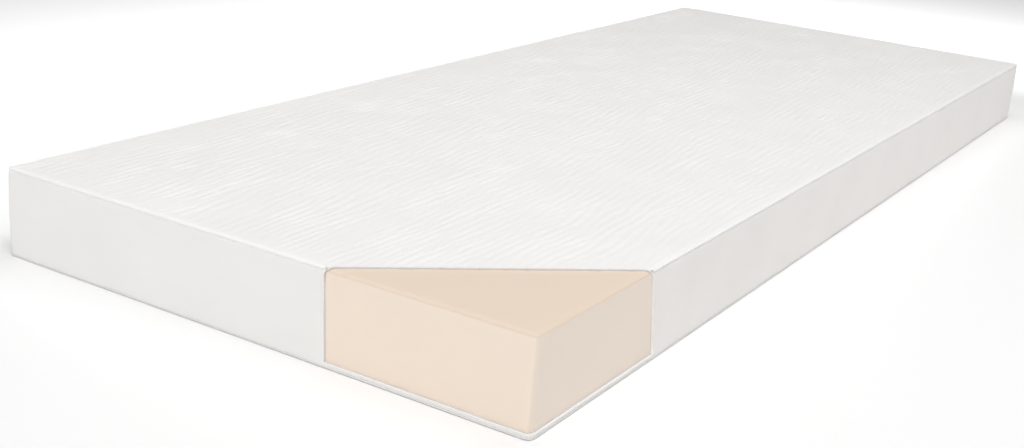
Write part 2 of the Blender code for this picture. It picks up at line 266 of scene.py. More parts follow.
def tube(name, outer, inner, material):
    """A closed tube between two sets of rings, or a solid cord where inner is None."""
    rows, sides, _ = outer.shape
    cells = grid_cells(rows, sides, closed=True).reshape(-1, 4)
    verts, faces = outer.reshape(-1, 3), [cells]
    last = (rows - 1) * sides
    ring = np.arange(sides)
    following = (ring + 1) % sides
    if inner is None:
        bm = mesh_from(verts, np.concatenate(faces))
        bm.verts.ensure_lookup_table()
        for start in (0, last):
            bm.faces.new([bm.verts[start + i] for i in ring])
        return new_object(name, bm, material)
    back = rows * sides
    faces.append(cells[:, ::-1] + back)
    for start in (0, last):
        corners = (ring, following, following + back, ring + back)
        faces.append(np.stack([start + corner for corner in corners], -1))
    bm = mesh_from(np.concatenate([verts, inner.reshape(-1, 3)]), np.concatenate(faces))
    return new_object(name, bm, material)


def add_ring(bm, centre, first, second, radius, sides):
    """A ring of new points round a centre, in the plane of two directions."""
    angles = (math.tau * k / sides for k in range(sides))
    spots = (centre + (first * math.cos(a) + second * math.sin(a)) * radius for a in angles)
    return [bm.verts.new(spot) for spot in spots]


def skin_rings(bm, rings):
    """Joins a row of rings into one closed tube."""
    sides = len(rings[0])
    for ring, following in zip(rings, rings[1:]):
        for k in range(sides):
            after = (k + 1) % sides
            bm.faces.new((ring[k], ring[after], following[after], following[k]))
    bm.faces.new(rings[0][::-1])
    bm.faces.new(rings[-1])


def resample(path, step):
    """Points a step apart along a path of straight pieces, its corners kept."""
    points = [np.array(path[0], float)]
    for start, end in zip(path, path[1:]):
        start, end = np.array(start, float), np.array(end, float)
        count = max(1, math.ceil(np.linalg.norm(end - start) / step))
        points += [start + (end - start) * (i + 1) / count for i in range(count)]
    return np.array(points)


def arc(centre, radius, start_deg, end_deg, steps):
    """Points round a level arc."""
    angles = np.radians(np.linspace(start_deg, end_deg, steps + 1))
    return [(centre[0] + radius * math.cos(a), centre[1] + radius * math.sin(a)) for a in angles]


def corner_centre(corner):
    """Centre of an upright corner, counted anticlockwise from (-X, -Y)."""
    side_x, side_y = [(-1, -1), (1, -1), (1, 1), (-1, 1)][corner % 4]
    return side_x * (HALF_W - CORNER_R), side_y * (HALF_L - CORNER_R)


# ---------------- materials

LOOKS = {}  # the Nodes of each material, by its name


class Nodes:
    """A new Principled material and short ways to add procedural detail to it."""

    def __init__(self, name, colour, roughness, metallic=0.0, sheen=0.0):
        LOOKS[name] = self
        self.material = bpy.data.materials.new(name + "_look")
        self.material.use_nodes = True
        self.tree = self.material.node_tree
        self.shader = self.tree.nodes["Principled BSDF"]
        self.feed(self.shader, "Base Color", (*colour, 1.0))
        self.feed(self.shader, "Roughness", roughness)
        self.feed(self.shader, "Metallic", metallic)
        if sheen:
            self.feed(self.shader, "Sheen Weight", sheen)
            self.feed(self.shader, "Sheen Roughness", 0.4)
        self.place = self.add("ShaderNodeTexCoord", {}, "Object")
        self.heights = []

    def feed(self, node, name, value):
        """Sets an input to a value or links it to another node's output."""
        if isinstance(value, bpy.types.NodeSocket):
            self.tree.links.new(value, node.inputs[name])
        else:
            node.inputs[name].default_value = value

    def add(self, kind, inputs, output, **settings):
        """One output of a new node with these inputs and settings."""
        node = self.tree.nodes.new(kind)
        for key, value in settings.items():
            setattr(node, key, value)
        for key, value in inputs.items():
            self.feed(node, key, value)
        return node.outputs[output]

    def stretched(self, scale, turn=(0, 0, 0)):
        """The place in the object, scaled along each axis and then turned."""
        inputs = {"Vector": self.place, "Scale": scale, "Rotation": turn}
        return self.add("ShaderNodeMapping", inputs, "Vector")

    def noise(self, scale, detail=2.0, vector=None, distortion=0.0):
        inputs = {"Vector": vector or self.place, "Scale": scale}
        inputs |= {"Detail": detail, "Distortion": distortion}
        return self.add("ShaderNodeTexNoise", inputs, "Fac")

    def cells(self, scale):
        inputs = {"Vector": self.place, "Scale": scale}
        return self.add("ShaderNodeTexVoronoi", inputs, "Distance", feature="F1")

    def wave(self, axis, pitch, distortion=0.0, detail_scale=1.0, vector=None):
        """Rows across one axis, a pitch in metres apart."""
        inputs = {"Vector": vector or self.place, "Scale": math.tau / 20 / pitch}
        inputs |= {"Distortion": distortion, "Detail Scale": detail_scale}
        bands = {"wave_type": "BANDS", "bands_direction": axis}
        return self.add("ShaderNodeTexWave", inputs, "Fac", **bands)

    def math(self, operation, first, second=0.0):
        return self.add("ShaderNodeMath", {0: first, 1: second}, 0, operation=operation)

    def remap(self, value, low, high, from_low=0.0, from_high=1.0):
        inputs = {"Value": value, "From Min": from_low, "From Max": from_high}
        inputs |= {"To Min": low, "To Max": high}
        return self.add("ShaderNodeMapRange", inputs, "Result")

    def between(self, value, low, high):
        """0 where a value is at low or under it, 1 where it is at high or over it."""
        return self.remap(value, 0.0, 1.0, low, high)

    def blend(self, share, *colours):
        """Mixes two colours, given as tuples or outputs, by a share from 0 to 1."""
        first, second = ((*c, 1.0) if isinstance(c, tuple) else c for c in colours)
        inputs = {"Factor": share, 6: first, 7: second}  # the last two are its colour inputs
        return self.add("ShaderNodeMix", inputs, 2, data_type="RGBA")

    def paint(self, share, first, second):
        """Colours the material with a blend of two colours."""
        self.feed(self.shader, "Base Color", self.blend(share, first, second))

    def roughen(self, pattern, low, high):
        """Lets the roughness follow a pattern from low to high."""
        self.feed(self.shader, "Roughness", self.remap(pattern, low, high))

    def relief(self, height, depth):
        """Adds a height from 0 to 1 to the relief, a depth in metres deep."""
        self.heights.append(self.math("MULTIPLY", height, depth))

    def vary(self, pattern, colours, roughness, depth):
        """Lets colour, roughness and relief follow one pattern."""
        self.paint(pattern, *colours)
        self.roughen(pattern, *roughness)
        self.relief(pattern, depth)

    def finish_relief(self):
        """Bends the light by the sum of the heights."""
        total = self.heights[0]
        for height in self.heights[1:]:
            total = self.math("ADD", total, height)
        bump = self.add("ShaderNodeBump", {"Height": total, "Distance": 1.0}, "Normal")
        self.feed(self.shader, "Normal", bump)


def tinted(colour, factor):
    return tuple(min(1.0, channel * factor) for channel in colour)


KNIT = (0.925, 0.913, 0.893)
# Painted light: the same knit on the long sides is tinted a touch warmer than on the ends and the top, a
# lit copy of one fabric.
SIDE_PAINTED_TINT = (1.015, 1.0, 0.995)
# The foam's colour for each way a face points. The foot end's colour is the foam's own; the side and top
# colours are painted light: the top painted darker as painted shade and the long sides a little paler,
# lit and shaded copies of one foam.
FOAM_FOOT = (0.942, 0.810, 0.687)
FOAM_SIDE_PAINTED_LIGHT = (0.929, 0.819, 0.716)
FOAM_TOP_PAINTED_SHADE = (0.817, 0.676, 0.552)


def make_knit(name, wales, courses, colour, crinkle=0.0):
    """Fine jersey knit: wales across one axis, courses across another, and a soft mottle."""
    knit = Nodes(name, colour, 0.9, sheen=0.25)
    mottle = knit.between(knit.noise(9.0, 4.0), 0.35, 0.65)
    fuzz = knit.noise(900.0, 2.0)
    knit.paint(mottle, tinted(colour, 0.985), tinted(colour, 1.01))
    knit.roughen(fuzz, 0.82, 0.98)
    knit.relief(knit.wave(wales, 0.0012, 1.2, 3.0), 0.00007)
    knit.relief(knit.wave(courses, 0.0009, 1.0, 3.0), 0.00004)
    knit.relief(fuzz, 0.00005)
    if crinkle:
        knit.relief(knit.noise(1.0, 3.0, knit.stretched((260, 70, 100)), 0.4), crinkle)


def make_piping():
    # The piping is a little paler than the knit: partly its own colour, partly a painted highlight for
    # the bright line along the top edge.
    piping = Nodes("piping", (0.955, 0.95, 0.94), 0.75, sheen=0.2)
    twill = piping.stretched((1, 1, 1), (0.6, 0.6, 0.8))
    weave = piping.wave("DIAGONAL", 0.0009, 0.6, 2.0, twill)
    piping.paint(weave, (0.94, 0.935, 0.925), (0.97, 0.967, 0.96))
    piping.roughen(piping.noise(400.0), 0.65, 0.85)
    piping.relief(weave, 0.00008)


def make_cord():
    cord = Nodes("cord", (0.80, 0.77, 0.70), 0.9, sheen=0.2)
    fibres = cord.noise(1500.0, 4.0, cord.stretched((1, 1, 3)))
    cord.vary(fibres, ((0.72, 0.69, 0.62), (0.85, 0.82, 0.76)), (0.8, 1.0), 0.0001)


def foam_painted_light(foam):
    """Painted light on the foam, by the way a face points: the foot end's own colour, the paler painted
    sides, painted shade on their rounded edge, and the darker painted top.
    """
    normal = foam.add("ShaderNodeTexCoord", {}, "Normal")
    parts = (foam.add("ShaderNodeSeparateXYZ", {"Vector": normal}, axis) for axis in "XZ")
    sideways, upwards = (foam.math("ABSOLUTE", part) for part in parts)
    turning = foam.between(sideways, 0.5, 0.97)
    sides = foam.blend(turning, FOAM_FOOT, FOAM_SIDE_PAINTED_LIGHT)
    # painted shade along the rounded upright edge between the foot end and the side
    edge_painted_shade = foam.math("MULTIPLY", foam.math("PINGPONG", turning, 0.5), 1.6)
    sides = foam.blend(edge_painted_shade, sides, tinted(FOAM_FOOT, 0.93))
    return foam.blend(foam.between(upwards, 0.05, 0.45), sides, FOAM_TOP_PAINTED_SHADE)


def make_foam():
    """Open-celled foam: fine pores, the darkest of them given painted shade, in a slightly mottled skin
    whose colour carries painted light by face.
    """
    foam = Nodes("foam", FOAM_FOOT, 0.95, sheen=0.25)
    # a darker foam tone: the random mottle's own tone, and the painted shade in the pores
    shade = tinted(FOAM_TOP_PAINTED_SHADE, 0.6)
    pores = foam.cells(900.0)
    crumbs = foam.noise(350.0, 4.0)
    mottle = foam.between(foam.noise(14.0, 3.0), 0.3, 0.7)
    base = foam.blend(foam.math("MULTIPLY", mottle, 0.02), foam_painted_light(foam), shade)
    # painted shade inside the darkest pores
    pore_shade = foam.math("LESS_THAN", pores, 0.16)
    foam.paint(foam.math("MULTIPLY", pore_shade, 0.05), base, shade)
    foam.roughen(crumbs, 0.88, 1.0)
    foam.relief(pores, 0.00008)
    foam.relief(crumbs, 0.00012)


# A blue-grey scrim inside the cover; its grey is also painted shade, the shadow line it shows along the
# cut edges.
def make_lining_and_edge_shade():
    lining = Nodes(LINING_AND_EDGE_SHADE, (0.70, 0.71, 0.74), 0.9)
    web = lining.noise(1.0, 4.0, lining.stretched((900, 900, 300)), 0.5)
    lining.vary(web, ((0.64, 0.65, 0.685), (0.76, 0.77, 0.80)), (0.8, 1.0), 0.0001)


def make_wadding():
    wadding = Nodes(WADDING, (0.96, 0.957, 0.95), 1.0, sheen=0.2)
    fluff = wadding.noise(1400.0, 5.0, distortion=0.6)
    wadding.vary(fluff, ((0.94, 0.937, 0.93), (0.98, 0.978, 0.972)), (0.9, 1.0), 0.00015)


def make_tape():
    tape = Nodes("tape", (0.87, 0.865, 0.85), 0.85, sheen=0.15)
    rows = tape.wave("Z", 0.0008, 0.5, 2.0)
    herring = tape.wave("DIAGONAL", 0.0011, 0.4, 2.0)
    tape.paint(herring, (0.82, 0.815, 0.80), (0.90, 0.895, 0.885))
    tape.roughen(rows, 0.75, 0.92)
    tape.relief(rows, 0.00007)
    tape.relief(herring, 0.00009)


def make_coil():
    coil = Nodes("coil", (0.89, 0.885, 0.87), 0.35)
    streaks = coil.noise(300.0, 2.0)
    coil.vary(streaks, ((0.85, 0.845, 0.83), (0.92, 0.915, 0.905)), (0.28, 0.45), 0.00003)


def make_metal():
    metal = Nodes("metal", (0.66, 0.66, 0.67), 0.25, metallic=1.0)
    brushed = metal.noise(1.0, 4.0, metal.stretched((4000, 300, 4000)))
    wear = metal.noise(260.0, 3.0)
    metal.paint(wear, (0.58, 0.58, 0.59), (0.74, 0.74, 0.745))
    metal.roughen(brushed, 0.18, 0.42)
    metal.relief(brushed, 0.000015)


def make_satin():
    satin = Nodes("satin", (0.93, 0.93, 0.92), 0.45, sheen=0.3)
    floats = satin.wave("Z", 0.0005, 0.4, 2.0)
    threads = satin.noise(1.0, 3.0, satin.stretched((150, 150, 3000)))
    satin.paint(threads, (0.90, 0.90, 0.89), (0.95, 0.95, 0.945))
    satin.roughen(threads, 0.35, 0.55)
    satin.relief(floats, 0.00004)
    satin.relief(threads, 0.00003)


def make_thread():
    thread = Nodes("thread", (0.90, 0.895, 0.885), 0.6, sheen=0.2)
    plies = thread.noise(2500.0, 2.0)
    thread.vary(plies, ((0.86, 0.855, 0.845), (0.94, 0.935, 0.925)), (0.5, 0.7), 0.00005)


def make_materials():
    # the long sides' knit carries the painted warm tint
    side = tuple(channel * tint for channel, tint in zip(KNIT, SIDE_PAINTED_TINT))
    make_knit("top_fabric", "X", "Y", KNIT, crinkle=0.0005)
    make_knit("foot_fabric", "X", "Z", KNIT)
    make_knit("side_fabric", "Y", "Z", side)
    make_knit("under_fabric", "X", "Y", tinted(KNIT, 0.95), crinkle=0.0002)
    make_piping()
    make_cord()
    make_foam()
    make_lining_and_edge_shade()
    make_wadding()
    make_tape()
    make_coil()
    make_metal()
    make_satin()
    make_thread()
    for look in LOOKS.values():
        look.finish_relief()


# ---------------- the foam block

FOAM_R = 0.007  # of its upright edges
FOAM_TOP_R = 0.004
FOAM_BOTTOM_R = 0.003
FOAM_GROWTH = 0.0003  # that the foam fills the cover out
FOAM_STEP = 0.008  # between the points of the part that shows
FOAM_COARSE = 0.060  # and of the rest
FOAM_SHOWN_BEYOND = 0.05  # how far past the window the fine part goes
FOAM_UNEVEN = 0.00012


def foam_positions(low, high, shown_from, shown_to):
    """Positions along one side of the block, close together where it shows and at its edges."""
    edge = [FOAM_R * t for t in (0.0, 0.12, 0.3, 0.5, 0.75, 1.0)]
    ends = [low + e for e in edge] + [high - e for e in edge]
    inside_low, inside_high = low + FOAM_R, high - FOAM_R
    marks = [inside_low, inside_high]
    marks += [mark for mark in (shown_from, shown_to) if inside_low < mark < inside_high]
    marks = sorted(marks)
    for start, end in zip(marks, marks[1:]):
        shown = shown_from <= (start + end) / 2 <= shown_to
        count = max(1, round((end - start) / (FOAM_STEP if shown else FOAM_COARSE)))
        ends += list(np.linspace(start, end, count + 1))
    return np.unique(np.round(ends, 6))


def build_foam():
    """A block with rounded edges, whose cut faces are very slightly uneven."""
    low, high = np.array(FOAM_LOW) - FOAM_GROWTH, np.array(FOAM_HIGH) + FOAM_GROWTH
    axes = [
        foam_positions(low[0], high[0], WINDOW_X - FOAM_SHOWN_BEYOND, high[0]),
        foam_positions(low[1], high[1], low[1], WINDOW_Y + FOAM_SHOWN_BEYOND),
        foam_positions(low[2], high[2], low[2], high[2]),
    ]
    bm = bmesh.new()
    shared = {}

    def vert(point):
        key = tuple(np.round(point, 6))
        if key not in shared:
            upper = point[2] > (low[2] + high[2]) / 2
            radii = np.array([FOAM_R, FOAM_R, FOAM_TOP_R if upper else FOAM_BOTTOM_R])
            core = np.clip(point, low + radii, high - radii)
            away = (point - core) / radii
            shared[key] = bm.verts.new(core + away / np.linalg.norm(away) * radii)
        return shared[key]

    for axis in range(3):
        first, second = [i for i in range(3) if i != axis]
        for level in (low[axis], high[axis]):
            corners = []
            for a in axes[first]:
                for b in axes[second]:
                    point = np.zeros(3)
                    point[[axis, first, second]] = level, a, b
                    corners.append(vert(point))
            for cell in grid_cells(len(axes[first]), len(axes[second])).reshape(-1, 4):
                bm.faces.new([corners[k] for k in cell])
    bm.normal_update()
    rng = np.random.default_rng(11)
    span = (-HALF_L - HALF_W, 0.0), (HALF_L + HALF_W, HALF_W + 0.2)
    waves = Field(rng, *span, (0.006, 0.006), pitch=0.045, length=0.03, width=0.7)
    for v in bm.verts:
        push = waves.at(np.array(v.co.x + v.co.y), np.array(abs(v.co.z) + abs(v.co.x) / 3))
        v.co += v.normal * float(np.clip(push, -2, 2)) * FOAM_UNEVEN
    foam = new_object("foam_block", bm, "foam")
    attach(foam, "mattress")
    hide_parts("foam_core")


# ---------------- the cover's top

TOP_INSET = 0.0044  # from the cover's outline to the top panel's edge, at the piping
CUT_FLARE = 0.003  # how far the cover curves into the window at its corners
CUT_FLARE_REACH = 0.008
RIPPLE = 0.0011  # height of the ridges
TOP_ROLL_WIDTH = 0.0045  # of the edge that rolls down to the piping
TOP_ROLL_DROP = 0.0010
TOP_SUNK = 0.0003  # how far the ridges' middle level lies under the CAD's flat top
PUCKER = 0.00018  # height of the gathers along a seam
CUT_START = Vector((WINDOW_X, PIPE_R - HALF_L, 0))
CUT_END = Vector((HALF_W - PIPE_R, WINDOW_Y, 0))
CUT_OUTWARD = Vector((CUT_END.y - CUT_START.y, CUT_START.x - CUT_END.x, 0)).normalized()


def seam_distance(x, y, inset=0.0):
    """Distance inwards from a straight edge that lies an inset inside the cover's outline."""
    return np.minimum(HALF_W - inset - np.abs(x), HALF_L - inset - np.abs(y))


def past_corner(x, y):
    """How far points lie past the nearest corner's centre, along each axis."""
    return np.abs(x) - (HALF_W - CORNER_R), np.abs(y) - (HALF_L - CORNER_R)


def round_off(x, y, radius):
    """Pulls the points at a panel's corners in to their rounded outline, in place."""
    from_x, from_y = past_corner(x, y)
    outside = (from_x > 0) & (from_y > 0) & (np.hypot(from_x, from_y) > radius)
    pull = radius / np.hypot(from_x[outside], from_y[outside])
    x[outside] = np.sign(x[outside]) * (HALF_W - CORNER_R + from_x[outside] * pull)
    y[outside] = np.sign(y[outside]) * (HALF_L - CORNER_R + from_y[outside] * pull)


def crinkle_heights(x, y):
    """Short wavering ridges along the length, as a crinkled stretch knit has."""
    rng = np.random.default_rng(7)
    span = ((-HALF_W, -HALF_L), (HALF_W, HALF_L))
    fine = (0.0015, 0.003)
    coarse = (0.02, 0.02)
    straight = Field(rng, *span, fine, pitch=0.0115, length=0.100, lean=1)
    leaning = Field(rng, *span, fine, pitch=0.0125, length=0.085, lean=6)
    against = Field(rng, *span, fine, pitch=0.0105, length=0.075, lean=-6)
    small = Field(rng, *span, fine, pitch=0.0085, length=0.030, lean=16)
    slow = Field(rng, *span, coarse, pitch=0.45, length=0.30, width=0.9)
    patchy = Field(rng, *span, coarse, pitch=0.16, length=0.14, width=0.9)
    share = smooth(slow.at(x, y) * 0.4 + 0.5)
    other = smooth(patchy.at(x, y) * 0.4 + 0.2)
    mixed = straight.at(x, y) * (1 - share) + leaning.at(x, y) * share
    mixed = mixed * (1 - other * 0.6) + against.at(x, y) * other * 0.6
    strength = 0.75 + 0.25 * np.clip(patchy.at(x, y), -1.5, 1.5)
    return np.tanh(mixed * 0.7) * strength + 0.15 * small.at(x, y)


def build_top():
    """The sleeping surface: a crinkled sheet that rolls down to the piping and ends at the cut."""
    xs = graded(-HALF_W + TOP_INSET, HALF_W - TOP_INSET, step=0.0027)
    ys = graded(-HALF_L + TOP_INSET, HALF_L - TOP_INSET, step=0.0070)
    x, y = np.meshgrid(xs, ys, indexing="ij")
    inside = seam_distance(x, y, TOP_INSET)
    rolled = faded(inside, TOP_ROLL_WIDTH)
    rng = np.random.default_rng(21)
    across = line_noise(rng, -HALF_W, HALF_W, pitch=0.010)
    along = line_noise(rng, -HALF_L, HALF_L, pitch=0.010)
    at_end = HALF_L - np.abs(y) < HALF_W - np.abs(x)
    pucker = np.where(at_end, across(x), along(y)) * np.exp(-inside / 0.008)
    from_cut = (CUT_START.x - x) * CUT_OUTWARD.x + (CUT_START.y - y) * CUT_OUTWARD.y
    calm = 0.25 + 0.75 * smooth(from_cut / 0.014)
    ripple = crinkle_heights(x, y) * smooth(inside / 0.012) * calm
    z = TOP_Z - TOP_SUNK - TOP_ROLL_DROP * rolled + RIPPLE * ripple + PUCKER * pucker
    round_off(x, y, CORNER_R - TOP_INSET)
    bm = mesh_from(np.stack([x, y, z], -1).reshape(-1, 3), grid_cells(*x.shape).reshape(-1, 4))
    cut_corner(bm)
    settle(bm)
    close_below(bm, TOP_Z - FABRIC)
    more = (LINING_AND_EDGE_SHADE, WADDING)
    top = new_object("top_panel_fabric", bm, "top_fabric", sharp_deg=60, more=more)
    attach(top, "mattress")
    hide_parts("top_panel")


def cut_corner(bm):
    """Cuts the sheet along the diagonal of the cut-away, and flares the cut's two ends."""
    geometry = bm.verts[:] + bm.edges[:] + bm.faces[:]
    bmesh.ops.bisect_plane(
        bm, geom=geometry, dist=1e-6, plane_co=CUT_START, plane_no=CUT_OUTWARD, clear_outer=True
    )
    for vert in bm.verts:
        flat = Vector((vert.co.x, vert.co.y, 0))
        for corner, direction in ((CUT_START, Vector((1, 0, 0))), (CUT_END, Vector((0, -1, 0)))):
            near = max(0.0, 1 - (flat - corner).length / (CUT_FLARE_REACH + TOP_INSET))
            vert.co += direction * CUT_FLARE * near * near * 1.6


def settle(bm):
    """Stores the mesh and reads it back, so that what is added next follows in the same order."""
    mesh = bpy.data.meshes.new("settling")
    bm.to_mesh(mesh)
    bm.clear()
    bm.from_mesh(mesh)
    bpy.data.meshes.remove(mesh)


def close_below(bm, level, lined=0.65):
    """Turns an open sheet into a closed one: a rim of wadding and lining, the lining's grey partly
    painted shade, and a flat underside.
    """
    rim = [edge.link_loops[0] for edge in bm.edges if edge.is_boundary]
    following = {loop.link_loop_next.vert: loop.vert for loop in rim}
    ring = [rim[0].vert]
    while following[ring[-1]] != ring[0]:
        ring.append(following[ring[-1]])
    for slot, share in ((2, 1 - lined), (1, 1.0)):
        below = [bm.verts.new((x, y, z + (level - z) * share)) for x, y, z in (v.co for v in ring)]
        for k in range(len(ring)):
            face = bm.faces.new((ring[k - 1], ring[k], below[k], below[k - 1]))
            face.material_index = slot
        ring = below
    bm.faces.new(ring[::-1]).material_index = 1


# ---------------- the cover's border

BORDER_OVER = 0.0008  # how far a border's top edge presses into the piping
CROWN = 0.0011  # how far a border stands out halfway up
SLACK = 0.00022  # height of its slow waves
TUCK_LOW, TUCK_HIGH, TUCK_END = 0.0004, 0.0009, 0.0005  # how far its seams pull it in
TAB_TUCK = 0.0006
NOTCH_FLARE_REACH = 0.007
NOTCH_LEAN_REACH = 0.10
NOTCH_NEAR = 0.012  # how far into the fabric the flare goes


def side_plan(side, step=0.003):
    """Plan points of one side from seam to seam, their outward normals, and the run along them."""
    facing = 270 + 90 * side
    first, last = corner_centre(side), corner_centre(side + 1)
    turn = 6
    degrees = np.concatenate(
        [np.linspace(facing - 45, facing, turn), np.linspace(facing, facing + 45, turn)]
    )
    centres = np.array([first] * turn + [last] * turn)
    normals = np.stack([np.cos(np.radians(degrees)), np.sin(np.radians(degrees))], -1)
    points = centres + normals * CORNER_R
    straight = resample([points[turn - 1], points[turn]], step)[1:-1]
    facing_out = np.repeat(normals[turn - 1 : turn], len(straight), axis=0)
    points = np.concatenate([points[:turn], straight, points[turn:]])
    normals = np.concatenate([normals[:turn], facing_out, normals[turn:]])
    return points, normals, running_length(points)


def border_offset(run, heights, low, high, seed, sewn_low, sewn_high):
    """How far each point of a border stands out of its flat plane."""
    rng = np.random.default_rng(seed)
    s, z = np.meshgrid(run, heights, indexing="ij")
    rise = (z - low) / (high - low)
    crown = CROWN * np.sin(np.pi * np.clip(rise, 0, 1)) ** 0.8
    tuck = -TUCK_END * faded(np.minimum(s, run[-1] - s), 0.0020)
    pucker = np.zeros_like(z)
    seams = ((sewn_low, z - low, TUCK_LOW), (sewn_high, high - z, TUCK_HIGH))
    for sewn, distance, depth in seams:
        if sewn:
            tuck -= depth * faded(distance, 0.0028)
            gathers = line_noise(rng, 0, run[-1], pitch=0.011)
            pucker += PUCKER * gathers(s) * np.exp(-distance / 0.009)
    slack = Field(rng, (0, 0), (run[-1], 0.2), (0.008, 0.008), pitch=0.16, length=0.10, width=0.8)
    return crown + tuck + pucker + SLACK * slack.at(s, z)


def sheet_grids(points, normals, heights, offset):
    """The outer and the inner grid of points of an upright sheet."""
    shape = (len(points), len(heights))
    grids = []
    for depth in (offset, offset.clip(max=0) - FABRIC - 0.0002):
        plan = points[:, None, :] + normals[:, None, :] * depth[..., None]
        z = np.broadcast_to(heights[None, :, None], (*shape, 1))
        grids.append(np.concatenate([plan, z], -1))
    return grids


def build_border(node, side, low, high, seed, sewn_low=True, sewn_high=True):
    """One border panel, with its part of the cut-away where it has one."""
    points, normals, run = side_plan(side)
    heights = graded(low, high, 0.006, edge=(0.0005, 0.0012, 0.0022, 0.0036))
    keep = np.ones((len(points) - 1, len(heights) - 1), bool)
    has_window = side < 2
    if has_window:
        column = np.argmin(np.abs(points[:, side] - WINDOW_LINES[side]))
        points[column, side] = WINDOW_LINES[side]
        heights = with_line(heights, SILL_Z)
        above = np.searchsorted(heights, SILL_Z - 1e-7)
        gone = slice(column, None) if side == 0 else slice(None, column)
        keep[gone, above:] = False
    offset = border_offset(run, heights, low, high, seed, sewn_low, sewn_high)
    outer, inner = sheet_grids(points, normals, heights, offset)
    if has_window:
        shape_notch(side, outer, inner, high)
    fabric = "side_fabric" if side % 2 else "foot_fabric"
    # Painted light: above the sill the right side's cut edge shows little grey lining and mostly white
    # wadding, so it reads as a lit white line, while the other cut edges keep more grey as painted shade.
    lined = np.where((side == 1) & (heights > SILL_Z + 0.002), 0.1, 0.6)[None, :]
    panel = thick_sheet(f"{node}_fabric", outer, inner, fabric, keep, lined)
    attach(panel, "mattress")
    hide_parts(node)


def shape_notch(side, outer, inner, high):
    """Leans the upright cut, and curves it into the window at its top and the right one's foot."""
    towards, lean = ((1.0, FOOT_LEAN), (-1.0, SIDE_LEAN))[side]
    for grid in (outer, inner):
        z = grid[..., 2]
        away = np.abs(grid[..., side] - WINDOW_LINES[side])
        fall = np.clip((high - z) / (high - SILL_Z), 0, 1)
        leant = lean * fall * smooth(1 - away / NOTCH_LEAN_REACH)
        flare = faded(high - z, NOTCH_FLARE_REACH)
        if side == 1:
            flare = flare + faded(z - SILL_Z, NOTCH_FLARE_REACH) * (z > SILL_Z - TOLERANCE)
        near = 1 - np.clip(away / NOTCH_NEAR, 0, 1)
        grid[..., side] += leant + towards * CUT_FLARE * flare * near


def build_borders():
    low, high = FABRIC, BORDER_HIGH + BORDER_OVER
    build_border("border_foot", 0, low, high, 31)
    build_border("border_right", 1, low, high, 32)
    build_border("border_head", 2, low, high, 33)
    build_border("border_left_upper", 3, SLOT_HIGH, high, 34, sewn_low=False)
    build_border("border_left_lower", 3, low, SLOT_LOW, 35, sewn_high=False)


def build_end_tabs():
    """The fabric tabs that close the zip's slot between the zip and the corner seams."""
    low, high = SLOT_LOW + 0.0002, SLOT_HIGH - 0.0002
    points, normals, _ = side_plan(3)
    heights = graded(low, high, 0.002, edge=(0.0004, 0.0010))
    for name, at_end in (("head", points[:, 1] > TAPE_END), ("foot", points[:, 1] < -TAPE_END)):
        part, out = points[at_end], normals[at_end]
        run = running_length(part)
        s, z = np.meshgrid(run, heights, indexing="ij")
        offset = -TAB_TUCK * faded(np.minimum(z - low, high - z), 0.0015) - 0.0003
        offset -= TAB_TUCK * faded(np.minimum(s, run[-1] - s), 0.002)
        outer, inner = sheet_grids(part, out, heights, offset)
        tab = thick_sheet(f"zip_tab_{name}_fabric", outer, inner, "side_fabric")
        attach(tab, "mattress")
        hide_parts(f"zip_end_tab_{name}")


def build_bottom():
    """The underside, rolled up a little at its sewn edge."""
    edge = (0.0006, 0.0014, 0.0026, 0.0042, 0.0090)
    xs = graded(-HALF_W, HALF_W, 0.02, edge)
    ys = graded(-HALF_L, HALF_L, 0.02, edge)
    x, y = np.meshgrid(xs, ys, indexing="ij")
    from_x, from_y = past_corner(x, y)
    at_corner = (from_x > 0) & (from_y > 0)
    inside = np.where(at_corner, CORNER_R - np.hypot(from_x, from_y), seam_distance(x, y))
    round_off(x, y, CORNER_R)
    roll = faded(inside, 0.0025)
    low = np.stack([x, y, 0.0011 * roll], -1)
    high = np.stack([x, y, FABRIC - 0.0002 * roll], -1)
    bottom = thick_sheet("bottom_panel_fabric", low, high, "under_fabric")
    for face in bottom.data.polygons:
        face.material_index = 1 if face.material_index == 1 and face.normal.z > 0.9 else 0
    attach(bottom, "mattress")
    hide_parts("bottom_panel")


# ---------------- piping and stitches

def piping_path():
    """Centre line of the piping, from the foot end's cut clockwise round to the right side's cut."""
    radius = CORNER_R - PIPE_R
    path = [(WINDOW_X + CUT_FLARE, -HALF_L + PIPE_R)]
    path += arc(corner_centre(0), radius, 270, 180, 8)
    path += arc(corner_centre(3), radius, 180, 90, 8)
    path += arc(corner_centre(2), radius, 90, 0, 8)
    path.append((HALF_W - PIPE_R, WINDOW_Y - CUT_FLARE))
    return [(x, y, TOP_Z - PIPE_R) for x, y in path]


def mitre(rings, path):
    """Slides the points of both end rings along the piping onto the plane of the cover's cut."""
    normal = np.array(CUT_OUTWARD)
    for end, inner in ((0, 1), (-1, -2)):
        along = path[inner] - path[end]
        along /= np.linalg.norm(along)
        short = (path[end] - rings[end]) @ normal
        rings[end] += along * (short / (along @ normal))[:, None]
    return rings


